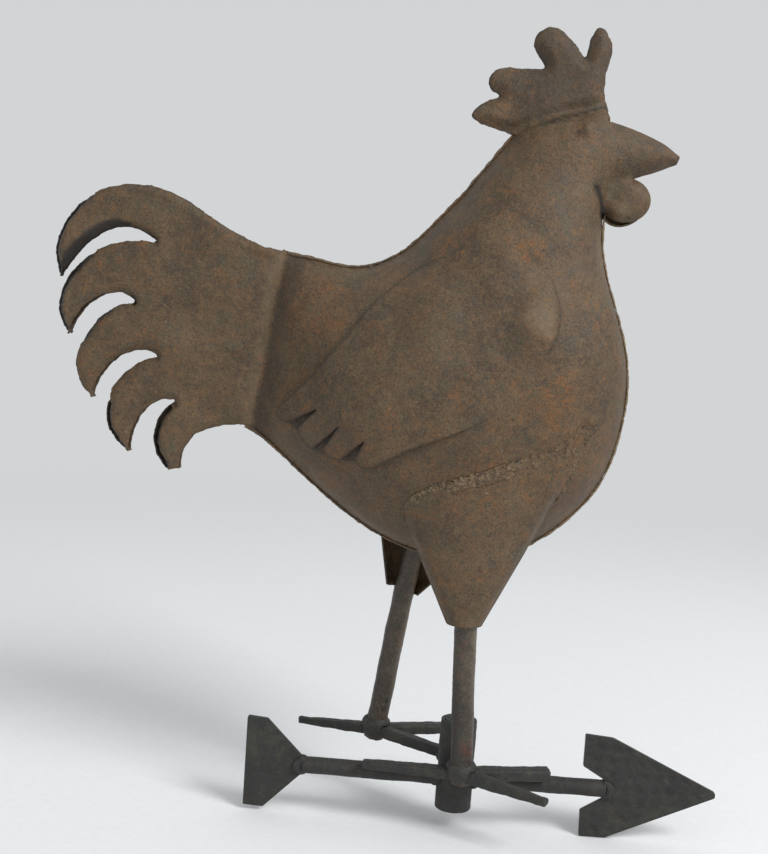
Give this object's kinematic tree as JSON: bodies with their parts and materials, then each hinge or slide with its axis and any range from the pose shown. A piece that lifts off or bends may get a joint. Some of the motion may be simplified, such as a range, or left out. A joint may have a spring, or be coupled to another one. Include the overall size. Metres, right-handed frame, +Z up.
{
  "type": "weather vane",
  "caption": "Hammered sheet-metal rooster standing on an arrow; turns freely with the wind on an upright spindle that screws to a mast.",
  "frame": {"origin": "centre of the spindle's bottom face, on the turning axis, at the mouth of its threaded hole", "axes": "+Z up along the turning axis, +X the way the arrow points and the rooster faces, -Y the rooster's right side"},
  "size_m": [0.406, 0.1216, 0.467],
  "materials": {
    "rusty_sheet": "matte brown rust",
    "leg_steel": "matte dark rust",
    "dark_steel": "matte charcoal oxide",
    "weld_metal": "rough rusted bead",
    "turned_steel": "turned, lightly oiled",
    "bearing_steel": "polished"
  },
  "bodies": {
    "mast": {"mast_spindle": "turned_steel", "bearing_ball": "bearing_steel"},
    "vane": {"sleeve_tube": "dark_steel", "sleeve_top_plug": "dark_steel", "arrow_shaft_front": "dark_steel", "arrow_shaft_rear": "dark_steel", "arrowhead": "dark_steel", "arrow_fletching": "dark_steel", "shaft_weld_front": "weld_metal", "shaft_weld_rear": "weld_metal", "arrowhead_weld": "weld_metal", "fletching_weld": "weld_metal", "right_leg": "leg_steel", "left_leg": "leg_steel", "right_rear_toe": "leg_steel", "right_inner_toe": "leg_steel", "right_outer_toe": "leg_steel", "left_rear_toe": "leg_steel", "left_outer_toe": "leg_steel", "left_inner_toe": "leg_steel", "right_ankle_weld": "weld_metal", "left_ankle_weld": "weld_metal", "left_toe_weld": "weld_metal", "right_body_sheet": "rusty_sheet", "left_body_sheet": "rusty_sheet", "rim_weld": "weld_metal", "right_wing": "rusty_sheet", "left_wing": "rusty_sheet", "right_thigh": "rusty_sheet", "left_thigh": "rusty_sheet", "right_thigh_weld": "weld_metal", "left_thigh_weld": "weld_metal"}
  },
  "joints": [
    {"name": "vane_spin", "type": "hinge", "parent": "mast", "child": "vane", "pos_m": [0, 0, 0.02], "axis": [0, 0, 1], "continuous": true}
  ]
}
